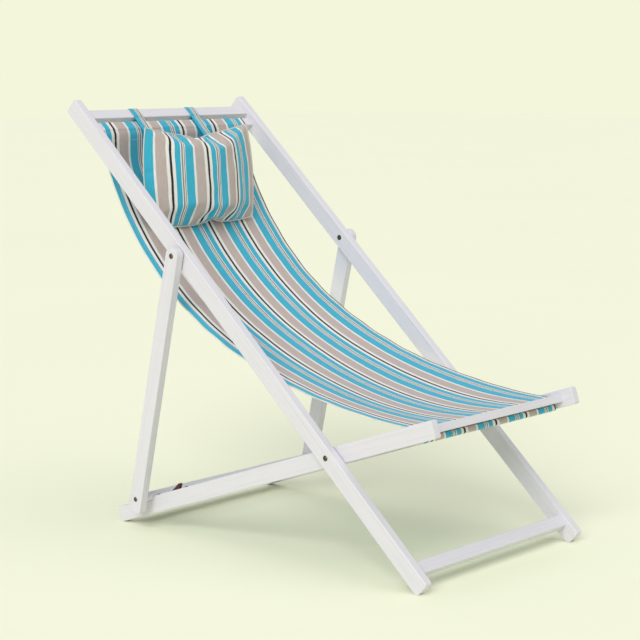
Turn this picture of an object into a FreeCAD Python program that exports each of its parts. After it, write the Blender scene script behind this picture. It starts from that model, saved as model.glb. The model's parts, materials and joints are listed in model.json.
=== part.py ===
import FreeCAD, Part
import math
import os

"""Folding beach chair with a fabric sling and a head pillow.

The sitter faces -Y, +Z is up and X = 0 is the plane of symmetry. Every
piece is first drawn in its own frame's flat coordinates (Y along the rails,
Z square to them, X across the chair) and then turned to the angle at which
that frame stands. All sizes are millimetres.
"""

V = FreeCAD.Vector
X_AXIS = V(1, 0, 0)

# ---- overall stance ------------------------------------------------------
BACK_ANGLE = 42.8        # long rails above the ground, degrees
SEAT_ANGLE = 19.0        # seat rails above the ground, degrees
CROSSING_HEIGHT = 240.0  # crossing bolt above the ground
OVERALL_WIDTH = 591.0    # over the outer faces of the prop struts

# ---- timber --------------------------------------------------------------
RAIL_THICK = 20.0        # across the chair, every rail and strut
RAIL_DEPTH = 38.0        # in the side view
STRUT_DEPTH = 36.0
JOINT_GAP = 2.5          # washer thickness between neighbouring members
EASED = 1.8              # rounding along timber edges
END_ROUND = 6.0          # rounding of the rail ends in the side view
TENON = 9.0              # how far a bar is let into a rail
TENON_PLAY = 0.15        # clearance round a tenon
TENON_LESS_THICK = 3.0   # shoulder on each face of a bar
TENON_LESS_WIDE = 4.0    # shoulder on each edge of a bar
SHOULDER_PLAY = 0.05     # between a bar's shoulder and the rail

# ---- long frame, measured along the rail from the crossing ---------------
LONG_UP = 1038.5
LONG_DOWN = 340.0
PROP_PIVOT = 570.3
TOP_BAR = 998.5          # centre of the upper bar
TOP_BAR_WIDE = 27.0
BAR_THICK = 18.0
SLING_BAR_WIDE = 24.0
SLING_BAR_THICK = 11.0
SLING_BAR_DROP = 33.5    # top sling bar below the upper bar
FOOT_BAR = 294.0
FOOT_BAR_WIDE = 29.0

# ---- seat frame, measured along the rail from the crossing ---------------
SEAT_FRONT = 275.0
SEAT_REAR = 687.0
FRONT_BAR = 233.0
FRONT_BAR_WIDE = 28.0
FRONT_BAR_RISE = 1.0
FRONT_SLING_GAP = 21.0   # front sling bar behind the front bar
FRONT_SLING_RISE = -15.0
REAR_BAR = 643.0
REAR_BAR_WIDE = 38.0
REAR_BAR_THICK = 16.0
REAR_BAR_RISE = -6.0
WEDGE_AT = 503.0         # back of the hardwood stop wedge
WEDGE_BASE = 22.0
WEDGE_HEIGHT = 12.0
WEDGE_THICK = 9.0
WEDGE_HOOK = 8.0         # how far the tooth's tip leans past its base
WEDGE_TIP = 4.0          # width of the blunt tip
WEDGE_SLOPE = 2.0        # fall across the tip
STUDS_AT = (459.0, 553.0)
STUD_R = 3.5
STUD_HEIGHT = 1.6

# ---- prop frame ----------------------------------------------------------
DOWEL_R = 10.0
DOWEL_AT = 571.5         # dowel's seat along the seat rail
DOWEL_RISE = 20.9        # dowel's centre above the seat rail's axis
DOWEL_SPIGOT_R = 7.0
STRUT_TAIL = 31.5        # strut beyond the dowel
STRUT_FOOT_ROUND = 9.0   # rounding of the lower end in the side view
TOP_FLAT = 0.5           # half the flat left on the round upper end
DOWEL_PLAY = 0.5         # clearance between dowel and notch
FOLD_RATIO = 2.08        # prop frame's turn for each degree of the seat's
FOLD_STEP = 1.5          # degrees between the places at which the dowel's way out is cut
FOLD_STEPS = 12          # most steps before the dowel is clear of the rail

# ---- fasteners -----------------------------------------------------------
BOLT_R = 4.0
BOLT_PLAY = 0.06         # running clearance round a bolt
HEAD_R = 6.2
HEAD_HEIGHT = 2.6
SOCKET_R = 2.2
SOCKET_FLOOR = 1.04      # socket's floor above the face under the head
WASHER_R = 9.0
WASHER_PLAY = 0.1        # free space on each side of a washer
SCREW_R = 2.4
SCREW_LENGTH = 46.0
SCREW_HEAD_R = 5.6

# ---- sling, pillow and straps --------------------------------------------
SLING_WIDE = 456.0
CLOTH = 1.6
SLING_SAG = 183.5        # deepest sag, square to the line between its ends
SAG_SKEW = 0.82          # below 1 moves the deepest point towards the top
SAG_ROUND = 0.855        # below 1 makes the bottom of the curve rounder
SLING_STEPS = 26
TOP_LEAVE = 3.4          # hanging cloth's upper end, below the top sling bar
TOP_LEAVE_RISE = -5.0    # the same end, below the rail's axis
FRONT_MEET = 5.6         # hanging cloth's lower end, behind the front bar
FRONT_MEET_RISE = 3.0    # the same end, above the front bar
CLOTH_GAP = 0.8          # space between cloth and the timber it passes
SLEEVE_PLAY = 0.3        # space between a sleeve and the bar inside it
PILLOW_WIDE = 350.0
PILLOW_TALL = 232.0
PILLOW_THICK = 72.0
PILLOW_ROUND = 33.0
PILLOW_LEAN = 79.0       # pillow's face above the ground, degrees
PILLOW_BACK = 600.0      # pillow's middle behind the crossing bolt
PILLOW_HIGH = 539.0      # pillow's middle above the crossing bolt
PILLOW_ASIDE = -17.0     # pillow and straps hang a little to one side
STRAP_WIDE = 26.0
STRAP_SPREAD = 90.0      # each strap's centre from the pillow's middle
STRAP_THICK = 1.4
STRAP_SEWN = 74.0        # where a strap is sewn on, above the middle of the pillow's back
STRAP_LAP = 4.0          # how far a strap's tail reaches over the upper bar

# ---- sizes that follow ----------------------------------------------------
STRUT_OUT = OVERALL_WIDTH / 2
STRUT_IN = STRUT_OUT - RAIL_THICK
LONG_OUT = STRUT_IN - JOINT_GAP
LONG_IN = LONG_OUT - RAIL_THICK
SEAT_OUT = LONG_IN - JOINT_GAP
SEAT_IN = SEAT_OUT - RAIL_THICK
HALF_DEPTH = RAIL_DEPTH / 2
SIDES = (-1, 1)
HIDDEN = 1.0             # overrun of a cutter past the face it leaves


def turned(shape, angle):
    """Copy of shape turned about X through the origin."""
    copy = shape.copy()
    copy.rotate(V(0, 0, 0), X_AXIS, angle)
    return copy


def long_frame(shape):
    """From the long frame's flat coordinates to where it stands."""
    return turned(shape, BACK_ANGLE)


def seat_frame(shape):
    """From the seat frame's flat coordinates to where it stands."""
    return turned(shape, -SEAT_ANGLE)


def block(x0, x1, y0, y1, z0, z1):
    """Rectangular block between two corners."""
    low = V(min(x0, x1), min(y0, y1), min(z0, z1))
    return Part.makeBox(abs(x1 - x0), abs(y1 - y0), abs(z1 - z0), low)


def rod(radius, x0, x1, y=0.0, z=0.0):
    """Round bar that runs along X."""
    return Part.makeCylinder(radius, abs(x1 - x0), V(min(x0, x1), y, z), X_AXIS)


def edges_along(shape, axis):
    """Straight edges of shape parallel to axis."""
    found = []
    for edge in shape.Edges:
        if isinstance(edge.Curve, Part.Line) and abs(edge.Curve.Direction.dot(axis)) > 0.999:
            found.append(edge)
    return found


def side_edges(shape):
    """Edges round the two broad faces of a board."""
    return [e for e in shape.Edges if abs(e.tangentAt(e.FirstParameter).x) < 0.5]


def timber(x0, x1, y0, y1, z0, z1, end_round):
    """Rail whose ends are rounded in the side view and whose edges are eased."""
    solid = block(x0, x1, y0, y1, z0, z1)
    solid = solid.makeFillet(end_round, edges_along(solid, X_AXIS))
    return solid.makeFillet(EASED, side_edges(solid))


def bar(half_width, y, z, wide, thick):
    """Cross bar with eased edges and a tenon at each end."""
    body = block(-half_width, half_width, y - wide / 2, y + wide / 2, z - thick / 2, z + thick / 2)
    body = body.makeFillet(min(EASED, thick / 4), edges_along(body, X_AXIS))
    for side in SIDES:
        body = body.fuse(tenon(half_width, side, y, z, wide, thick, 0.0))
    return body.removeSplitter()


def tenon(half_width, side, y, z, wide, thick, play):
    """Tenon, or with play the mortise it enters, on one end of a bar."""
    high = thick / 2 - TENON_LESS_THICK + play
    deep = wide / 2 - TENON_LESS_WIDE + play
    inner = side * (half_width - HIDDEN)
    outer = side * (half_width + TENON + play)
    return block(inner, outer, y - deep, y + deep, z - high, z + high)


LONG_BARS = (
    (TOP_BAR, 0.0, TOP_BAR_WIDE, BAR_THICK),
    (TOP_BAR - SLING_BAR_DROP, -3.0, SLING_BAR_WIDE, SLING_BAR_THICK),
    (-FOOT_BAR, 0.0, FOOT_BAR_WIDE, BAR_THICK),
)
SEAT_BARS = (
    (-FRONT_BAR, FRONT_BAR_RISE, FRONT_BAR_WIDE, BAR_THICK - 1.0),
    (FRONT_SLING_GAP - FRONT_BAR, FRONT_SLING_RISE, SLING_BAR_WIDE, SLING_BAR_THICK - 1.0),
    (REAR_BAR, REAR_BAR_RISE, REAR_BAR_WIDE, REAR_BAR_THICK),
)


def above_ground():
    """Everything above the surface that the chair stands on."""
    reach = 4 * LONG_UP
    return block(-reach, reach, -reach, reach, -CROSSING_HEIGHT, reach)


def long_rail(side):
    """One long rail, with its bolt holes and mortises."""
    rail = timber(side * LONG_IN, side * LONG_OUT, -LONG_DOWN, LONG_UP, -HALF_DEPTH, HALF_DEPTH, END_ROUND)
    near, far = side * (LONG_IN - HIDDEN), side * (LONG_OUT + HIDDEN)
    holes = [rod(BOLT_R + BOLT_PLAY, near, far, y) for y in (0.0, PROP_PIVOT)]
    holes.append(rod(HEAD_R + TENON_PLAY, near, side * (LONG_IN + HEAD_HEIGHT), PROP_PIVOT))
    holes += [tenon(LONG_IN, side, *spec, TENON_PLAY) for spec in LONG_BARS]
    return long_frame(rail.cut(Part.makeCompound(holes))).common(above_ground())


def seat_rail(side):
    """One seat rail, with its bolt hole, mortises and the dowel's notch."""
    near, far = side * SEAT_IN, side * SEAT_OUT
    rail = timber(near, far, -SEAT_FRONT, SEAT_REAR, -HALF_DEPTH, HALF_DEPTH, END_ROUND)
    holes = [rod(BOLT_R + BOLT_PLAY, side * (SEAT_IN - HIDDEN), side * (SEAT_OUT + HIDDEN))]
    holes += [tenon(SEAT_IN, side, *spec, TENON_PLAY) for spec in SEAT_BARS]
    rail = rail.cut(Part.makeCompound(holes)).cut(dowel_path(side))
    return seat_frame(rail).common(above_ground())


def prop_pivot():
    """Prop pivot where the long frame stands."""
    angle = math.radians(BACK_ANGLE)
    return V(0, PROP_PIVOT * math.cos(angle), PROP_PIVOT * math.sin(angle))


def dowel_centre():
    """Dowel's centre where the chair stands in use."""
    angle = math.radians(SEAT_ANGLE)
    along = V(0, math.cos(angle), -math.sin(angle)) * DOWEL_AT
    return along + V(0, math.sin(angle), math.cos(angle)) * DOWEL_RISE


def dowel_in_seat(closing):
    """Dowel's centre in the seat frame's flat coordinates, after closing degrees of folding."""
    turn = FreeCAD.Rotation(X_AXIS, closing * FOLD_RATIO)
    place = prop_pivot() + turn.multVec(dowel_centre() - prop_pivot())
    return FreeCAD.Rotation(X_AXIS, SEAT_ANGLE - closing).multVec(place)


def dowel_path(side):
    """Notch for the dowel, open along the way it leaves as the chair folds."""
    x0, x1 = side * (SEAT_IN - HIDDEN), side * (SEAT_OUT + HIDDEN)
    radius = DOWEL_R + DOWEL_PLAY
    clear = HALF_DEPTH + 4 * DOWEL_R
    stops = [dowel_in_seat(0.0)]
    while stops[-1].y < SEAT_REAR + 2 * DOWEL_R and len(stops) < FOLD_STEPS:
        stops.append(dowel_in_seat(FOLD_STEP * len(stops)))
    cutter = None
    for near, far in zip(stops, stops[1:]):
        run = far - near
        run.normalize()
        drop = V(0, run.z, -run.y) * radius
        outline = [near + drop, far + drop, V(0, far.y + radius, clear), V(0, near.y - radius, clear)]
        outline = [V(x0, p.y, p.z) for p in outline + [near - V(0, radius, 0)]]
        prism = Part.Face(Part.makePolygon(outline + outline[:1])).extrude(V(x1 - x0, 0, 0))
        piece = prism.fuse(rod(radius, x0, x1, near.y, near.z)).fuse(rod(radius, x0, x1, far.y, far.z))
        cutter = piece if cutter is None else cutter.fuse(piece)
    return cutter


def strut(side):
    """One prop strut, hung from its pivot and turned to reach the dowel's seat."""
    length = (dowel_centre() - prop_pivot()).Length
    half = STRUT_DEPTH / 2
    solid = block(side * STRUT_IN, side * STRUT_OUT, -half, half, -length - STRUT_TAIL, half)
    top = [e for e in edges_along(solid, X_AXIS) if e.CenterOfMass.z > 0]
    solid = solid.makeFillet(half - TOP_FLAT, top)
    low = [e for e in edges_along(solid, X_AXIS) if e.CenterOfMass.z < -length]
    solid = solid.makeFillet(STRUT_FOOT_ROUND, low)
    solid = solid.makeFillet(EASED, side_edges(solid))
    near, far = side * (STRUT_IN - HIDDEN), side * (STRUT_OUT + HIDDEN)
    holes = [rod(BOLT_R + BOLT_PLAY, near, far)]
    holes.append(rod(DOWEL_SPIGOT_R + TENON_PLAY, near, side * (STRUT_IN + TENON), 0, -length))
    holes.append(rod(SCREW_R + TENON_PLAY, side * STRUT_IN, far, 0, -length))
    return hung(solid.cut(Part.makeCompound(holes)))


def hung(shape):
    """From the strut's upright coordinates, pivot at the origin, to where it stands."""
    reach = dowel_centre() - prop_pivot()
    lean = math.degrees(math.atan2(reach.y, -reach.z))
    shape = turned(shape, lean)
    shape.translate(prop_pivot())
    return shape


def prop_dowel():
    """Round bar between the struts, with a spigot let into each."""
    centre = dowel_centre()
    body = rod(DOWEL_R, -STRUT_IN, STRUT_IN, centre.y, centre.z)
    spigot = STRUT_IN + TENON - TENON_PLAY
    body = body.fuse(rod(DOWEL_SPIGOT_R, -spigot, spigot, centre.y, centre.z)).removeSplitter()
    for side in SIDES:
        tip = STRUT_OUT - SCREW_LENGTH - HIDDEN
        body = body.cut(rod(SCREW_R + TENON_PLAY, side * tip, side * STRUT_OUT, centre.y, centre.z))
    return body


def headed(side, face, tip, shank_r, head_r):
    """Domed fastener along X whose head sits on face and whose shank ends at tip."""
    shank = rod(shank_r, side * face, side * tip)
    dome_r = (head_r**2 + HEAD_HEIGHT**2) / (2 * HEAD_HEIGHT)
    ball = Part.makeSphere(dome_r, V(side * (face + HEAD_HEIGHT - dome_r), 0, 0))
    head = rod(head_r, side * face, side * (face + HEAD_HEIGHT)).common(ball)
    socket = rod(SOCKET_R, side * (face + SOCKET_FLOOR), side * (face + 2 * HEAD_HEIGHT))
    return shank.fuse(head).cut(socket)


def flanged_nut(side, face, reach):
    """Barrel nut: a flange on face, its sleeve hidden on the bolt's end."""
    flange = rod(HEAD_R, side * face, side * (face - reach))
    return flange.cut(rod(BOLT_R + BOLT_PLAY, side * (face + HIDDEN), side * (face - reach / 2)))


def moved(shape, offset):
    """Copy of shape moved by offset."""
    copy = shape.copy()
    copy.translate(offset)
    return copy


def crossing_bolts():
    """Bolts on which the seat frame turns."""
    tip = SEAT_IN - HEAD_HEIGHT / 2
    return Part.makeCompound([headed(s, LONG_OUT, tip, BOLT_R, HEAD_R) for s in SIDES])


def crossing_nuts():
    """Barrel nuts on the inner faces of the seat rails."""
    return Part.makeCompound([flanged_nut(s, SEAT_IN - WASHER_PLAY, HEAD_HEIGHT) for s in SIDES])


def washers(inner, outer):
    """A washer on each side, between an inner and an outer member."""
    rings = []
    for side in SIDES:
        span = (side * (inner + WASHER_PLAY), side * (outer - WASHER_PLAY))
        rings.append(rod(WASHER_R, *span).cut(rod(BOLT_R + BOLT_PLAY, *span)))
    return Part.makeCompound(rings)


def pivot_bolts():
    """Bolts on which the prop frame turns."""
    tip = LONG_IN + HEAD_HEIGHT / 2
    face = STRUT_OUT + WASHER_PLAY
    return moved(Part.makeCompound([headed(s, face, tip, BOLT_R, HEAD_R) for s in SIDES]), prop_pivot())


def pivot_nuts():
    """Barrel nuts let in flush, so that the folded seat rails pass them."""
    face = LONG_IN + HEAD_HEIGHT
    return moved(Part.makeCompound([flanged_nut(s, face, HEAD_HEIGHT) for s in SIDES]), prop_pivot())


def dowel_screws():
    """Screws through the struts into the ends of the dowel."""
    tip = STRUT_OUT - SCREW_LENGTH
    screws = [headed(s, STRUT_OUT, tip, SCREW_R, SCREW_HEAD_R) for s in SIDES]
    return moved(Part.makeCompound(screws), dowel_centre())


def middle_of_seat_rail(side):
    """Centre of a seat rail's thickness."""
    return side * (SEAT_IN + SEAT_OUT) / 2


def stop_wedge(side):
    """Hardwood tooth on top of a seat rail, leaning towards the front."""
    x0 = middle_of_seat_rail(side) - WEDGE_THICK / 2
    front = WEDGE_AT - WEDGE_BASE
    top = HALF_DEPTH + WEDGE_HEIGHT
    tip = front - WEDGE_HOOK
    outline = [(WEDGE_AT, HALF_DEPTH), (front, HALF_DEPTH), (tip, top - WEDGE_SLOPE), (tip + WEDGE_TIP, top)]
    points = [V(x0, y, z) for y, z in outline]
    return seat_frame(Part.Face(Part.makePolygon(points + points[:1])).extrude(X_AXIS * WEDGE_THICK))


def stop_wedges():
    """The wedge of each seat rail."""
    return Part.makeCompound([stop_wedge(side) for side in SIDES])


def rail_studs():
    """Low round studs along the top of the seat rails."""
    studs = []
    for side in SIDES:
        for along in STUDS_AT:
            base = V(middle_of_seat_rail(side), along, HALF_DEPTH)
            studs.append(Part.makeCylinder(STUD_R, STUD_HEIGHT, base))
    return seat_frame(Part.makeCompound(studs))


def sling_ends():
    """Where the hanging cloth leaves the top sling bar and meets the front bar."""
    top_y = TOP_BAR - SLING_BAR_DROP - SLING_BAR_WIDE / 2 - TOP_LEAVE
    top = FreeCAD.Rotation(X_AXIS, BACK_ANGLE).multVec(V(0, top_y, TOP_LEAVE_RISE))
    front_y = -FRONT_BAR + FRONT_BAR_WIDE / 2 + FRONT_MEET
    front_z = FRONT_BAR_RISE + BAR_THICK / 2 + FRONT_MEET_RISE
    front = FreeCAD.Rotation(X_AXIS, -SEAT_ANGLE).multVec(V(0, front_y, front_z))
    return top, front


def sling_line():
    """Points down the middle of the cloth, from the top bar to the front bar."""
    top, front = sling_ends()
    chord = front - top
    square = V(0, chord.z, -chord.y)
    square.normalize()
    points = []
    for step in range(SLING_STEPS + 1):
        t = step / SLING_STEPS
        sag = SLING_SAG * math.sin(math.pi * t**SAG_SKEW) ** SAG_ROUND if 0 < t < 1 else 0.0
        points.append(top + chord * t - square * sag)
    return points


def sheet(points, wide, thick):
    """Cloth of even thickness that follows points in the side view."""
    faces = []
    for sign in (-1, 1):
        side = []
        for index, point in enumerate(points):
            run = points[min(index + 1, len(points) - 1)] - points[max(index - 1, 0)]
            run.normalize()
            side.append(point + V(0, -run.z, run.y) * (sign * thick / 2))
        curve = Part.BSplineCurve()
        curve.interpolate([V(-wide / 2, p.y, p.z) for p in side])
        faces.append(curve)
    one, two = faces
    ends = [Part.makeLine(one.StartPoint, two.StartPoint), Part.makeLine(one.EndPoint, two.EndPoint)]
    wire = Part.Wire(Part.__sortEdges__([one.toShape(), two.toShape()] + ends))
    return Part.Face(wire).extrude(X_AXIS * wide)


def sling_cloth():
    """The hanging cloth between its two sleeves."""
    return sheet(sling_line(), SLING_WIDE, CLOTH)


def pocket(y, z, wide, thick):
    """Sleeve of cloth round a flat bar."""
    solids = []
    for extra in (SLEEVE_PLAY + CLOTH, SLEEVE_PLAY):
        long = SLING_WIDE if extra > SLEEVE_PLAY else SLING_WIDE + 2 * HIDDEN
        half_y, half_z = wide / 2 + extra, thick / 2 + extra
        hull = block(-long / 2, long / 2, y - half_y, y + half_y, z - half_z, z + half_z)
        solids.append(hull.makeFillet(min(EASED, thick / 4) + extra, edges_along(hull, X_AXIS)))
    return solids[0].cut(solids[1])


def top_pocket():
    """Sleeve on the top sling bar."""
    y, z, wide, thick = LONG_BARS[1]
    return long_frame(pocket(y, z, wide, thick))


def front_pocket():
    """Sleeve on the front sling bar, with the riser that the hanging cloth joins."""
    y, z, wide, thick = SEAT_BARS[1]
    sleeve = pocket(y, z, wide, thick)
    low = -FRONT_BAR + FRONT_BAR_WIDE / 2 + CLOTH_GAP
    foot = z + thick / 2 + SLEEVE_PLAY + CLOTH / 2
    head = FRONT_BAR_RISE + BAR_THICK / 2
    riser = block(-SLING_WIDE / 2, SLING_WIDE / 2, low, low + CLOTH, foot, head)
    return seat_frame(sleeve.fuse(riser))


def pillow_middle():
    """Centre of the pillow, from the crossing."""
    return V(PILLOW_ASIDE, PILLOW_BACK, PILLOW_HIGH)


def head_pillow():
    """Pillow in front of the head end of the sling."""
    x, y, z = PILLOW_WIDE / 2, PILLOW_TALL / 2, PILLOW_THICK / 2
    hull = block(-x, x, -y, y, -z, z)
    return moved(turned(hull.makeFillet(PILLOW_ROUND, hull.Edges), PILLOW_LEAN), pillow_middle())


def pillow_strap(side):
    """Flat loop over the upper bar whose tail is sewn to the pillow's back."""
    x0 = PILLOW_ASIDE + side * STRAP_SPREAD - STRAP_WIDE / 2
    rings = []
    for extra in (CLOTH_GAP + STRAP_THICK, CLOTH_GAP):
        half_y, half_z = TOP_BAR_WIDE / 2 + extra, BAR_THICK / 2 + extra
        hull = block(x0, x0 + STRAP_WIDE, TOP_BAR - half_y, TOP_BAR + half_y, -half_z, half_z)
        rings.append(hull.makeFillet(EASED + extra, edges_along(hull, X_AXIS)))
    ring = long_frame(rings[0].cut(rings[1]))
    sewn = V(0, STRAP_SEWN, -PILLOW_THICK / 2)
    edge = pillow_middle() + FreeCAD.Rotation(X_AXIS, PILLOW_LEAN).multVec(sewn)
    lap = V(0, TOP_BAR - TOP_BAR_WIDE / 2 + STRAP_LAP, BAR_THICK / 2 + CLOTH_GAP + STRAP_THICK / 2)
    start = FreeCAD.Rotation(X_AXIS, BACK_ANGLE).multVec(lap)
    run = edge - start
    run.normalize()
    square = V(0, -run.z, run.y) * (STRAP_THICK / 2)
    points = [V(x0, p.y, p.z) for p in (start - square, start + square, edge + square, edge - square)]
    tail = Part.Face(Part.makePolygon(points + points[:1])).extrude(X_AXIS * STRAP_WIDE)
    return ring.fuse(tail)


def cross_bar(half_width, spec, place):
    """Bar between two rails, standing where its frame stands."""
    return place(bar(half_width - SHOULDER_PLAY, *spec))


PIECES = {
    "long_rail_left": lambda: long_rail(1),
    "long_rail_right": lambda: long_rail(-1),
    "top_crossbar": lambda: cross_bar(LONG_IN, LONG_BARS[0], long_frame),
    "top_sling_bar": lambda: cross_bar(LONG_IN, LONG_BARS[1], long_frame),
    "foot_crossbar": lambda: cross_bar(LONG_IN, LONG_BARS[2], long_frame),
    "crossing_bolts": crossing_bolts,
    "crossing_washers": lambda: washers(SEAT_OUT, LONG_IN),
    "crossing_nuts": crossing_nuts,
    "prop_pivot_bolts": pivot_bolts,
    "prop_pivot_washers": lambda: moved(washers(LONG_OUT, STRUT_IN), prop_pivot()),
    "prop_pivot_nuts": pivot_nuts,
    "sling_cloth": sling_cloth,
    "sling_top_pocket": top_pocket,
    "seat_rail_left": lambda: seat_rail(1),
    "seat_rail_right": lambda: seat_rail(-1),
    "front_crossbar": lambda: cross_bar(SEAT_IN, SEAT_BARS[0], seat_frame),
    "front_sling_bar": lambda: cross_bar(SEAT_IN, SEAT_BARS[1], seat_frame),
    "rear_crossbar": lambda: cross_bar(SEAT_IN, SEAT_BARS[2], seat_frame),
    "sling_front_pocket": front_pocket,
    "stop_wedges": stop_wedges,
    "rail_studs": rail_studs,
    "prop_strut_left": lambda: strut(1),
    "prop_strut_right": lambda: strut(-1),
    "prop_dowel": prop_dowel,
    "dowel_screws": dowel_screws,
    "head_pillow": head_pillow,
    "pillow_strap_left": lambda: pillow_strap(1),
    "pillow_strap_right": lambda: pillow_strap(-1),
}


def main():
    """Builds every piece, writes it and reports the places that joints stand on."""
    os.makedirs("parts", exist_ok=True)
    shapes = {name: make() for name, make in PIECES.items()}
    box = Part.makeCompound(list(shapes.values())).optimalBoundingBox(False)
    origin = V(0, -(box.YMin + box.YMax) / 2, CROSSING_HEIGHT)
    for name, shape in shapes.items():
        shape.translate(origin)
        shape.exportStep("parts/" + name + ".step")
    print("size", round(box.XLength, 2), round(box.YLength, 2), round(box.ZMax + CROSSING_HEIGHT, 2))
    print("crossing", [round(v, 4) for v in origin])
    print("prop pivot", [round(v, 4) for v in origin + prop_pivot()])
    print("dowel", [round(v, 4) for v in origin + dowel_centre()])
    hinge = FreeCAD.Rotation(X_AXIS, BACK_ANGLE).multVec(V(0, TOP_BAR, 0))
    print("pillow hinge", [round(v, 4) for v in origin + hinge])
    for name, shape in shapes.items():
        print(name, "valid" if shape.isValid() else "NOT VALID", len(shape.Solids), round(shape.Volume))


main()
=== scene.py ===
import json
import logging
import math
from dataclasses import dataclass, field
from enum import Enum
from typing import Callable, Sequence

import bpy
from mathutils import Matrix, Vector, noise


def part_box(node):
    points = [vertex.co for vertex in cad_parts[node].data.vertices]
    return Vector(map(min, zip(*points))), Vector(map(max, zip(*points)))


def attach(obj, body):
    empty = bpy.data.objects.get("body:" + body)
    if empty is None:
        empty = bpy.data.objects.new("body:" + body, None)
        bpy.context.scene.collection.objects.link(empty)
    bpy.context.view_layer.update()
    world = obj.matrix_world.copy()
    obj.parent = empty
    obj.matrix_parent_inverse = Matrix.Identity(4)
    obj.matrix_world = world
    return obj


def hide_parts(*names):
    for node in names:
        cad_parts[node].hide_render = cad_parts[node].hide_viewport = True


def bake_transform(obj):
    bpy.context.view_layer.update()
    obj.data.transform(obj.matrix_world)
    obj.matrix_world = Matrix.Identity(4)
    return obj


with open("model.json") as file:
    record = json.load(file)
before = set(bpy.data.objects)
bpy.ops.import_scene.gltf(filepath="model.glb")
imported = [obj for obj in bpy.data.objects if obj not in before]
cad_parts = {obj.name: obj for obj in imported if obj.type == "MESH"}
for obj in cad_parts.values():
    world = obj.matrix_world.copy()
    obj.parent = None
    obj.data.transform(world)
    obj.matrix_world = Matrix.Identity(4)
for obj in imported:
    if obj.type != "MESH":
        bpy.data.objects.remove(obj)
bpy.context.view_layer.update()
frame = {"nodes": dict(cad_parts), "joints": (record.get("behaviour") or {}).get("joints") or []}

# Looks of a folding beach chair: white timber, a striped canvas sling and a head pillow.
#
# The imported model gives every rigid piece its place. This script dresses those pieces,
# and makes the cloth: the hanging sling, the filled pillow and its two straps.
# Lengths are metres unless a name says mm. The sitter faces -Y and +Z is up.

LOG = logging.getLogger("beach_chair")
MM = 0.001
CLOTH_COORDS = "cloth_mm"  # each cloth point's place on the flat cut: across, along, in mm


class Finish(Enum):
    """Names of the record's material slots for the cloth pieces; nothing in the script uses them."""

    CANVAS = "striped_canvas"
    PILLOW = "pillow_canvas"


class Body(Enum):
    """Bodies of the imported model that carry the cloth."""

    BACK = "long_frame"
    SEAT = "seat_frame"
    PILLOW = "pillow"


def linear(colour: str) -> tuple[float, float, float, float]:
    """Turns an sRGB hex colour to linear light.

    Args:
        colour: Six hex digits, with or without a leading hash.

    Returns:
        Red, green, blue and full opacity.
    """
    digits = colour.lstrip("#")
    values = [int(digits[i : i + 2], 16) / 255 for i in (0, 2, 4)]
    light = [v / 12.92 if v <= 0.04045 else ((v + 0.055) / 1.055) ** 2.4 for v in values]
    return (light[0], light[1], light[2], 1.0)


def add_node(tree: bpy.types.NodeTree, kind: str, inputs: dict[str | int, object] | None = None,
             **settings: object) -> bpy.types.Node:
    """Adds one shader node with its settings, values and links.

    Args:
        tree: The node tree that gets the node.
        kind: The node's type, such as ShaderNodeBump.
        inputs: Values or output sockets by input name or number.
        settings: Attributes of the node itself.

    Returns:
        The new node.
    """
    node = tree.nodes.new(kind)
    for name, value in settings.items():
        setattr(node, name, value)
    for name, value in (inputs or {}).items():
        if isinstance(value, bpy.types.NodeSocket):
            tree.links.new(value, node.inputs[name])
        else:
            node.inputs[name].default_value = value
    return node


def ramp(tree: bpy.types.NodeTree, factor: bpy.types.NodeSocket, stops: Sequence[tuple[float, str]],
         interpolation: str = "LINEAR") -> bpy.types.NodeSocket:
    """Adds a colour ramp.

    Args:
        tree: The node tree that gets the ramp.
        factor: What drives it, 0 to 1.
        stops: Position and hex colour of each stop.
        interpolation: LINEAR or CONSTANT.

    Returns:
        The ramp's colour output.
    """
    node = add_node(tree, "ShaderNodeValToRGB", {"Fac": factor})
    node.color_ramp.interpolation = interpolation
    elements = node.color_ramp.elements
    while len(elements) < len(stops):
        elements.new(0.5)
    for element, (place, colour) in zip(elements, stops):
        element.position = place
        element.color = linear(colour)
    return node.outputs["Color"]


def new_material(name: str, roughness: float,
                 metallic: float = 0.0) -> tuple[bpy.types.Material, bpy.types.Node]:
    """Makes a material with one Principled shader.

    Args:
        name: The material's name.
        roughness: The shader's roughness.
        metallic: 1 for a bare metal.

    Returns:
        The material and its shader node.
    """
    material = bpy.data.materials.new(name)
    material.use_nodes = True
    tree = material.node_tree
    tree.nodes.clear()
    shader = add_node(tree, "ShaderNodeBsdfPrincipled", {"Roughness": roughness, "Metallic": metallic})
    add_node(tree, "ShaderNodeOutputMaterial", {"Surface": shader.outputs["BSDF"]})
    return material, shader


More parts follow.
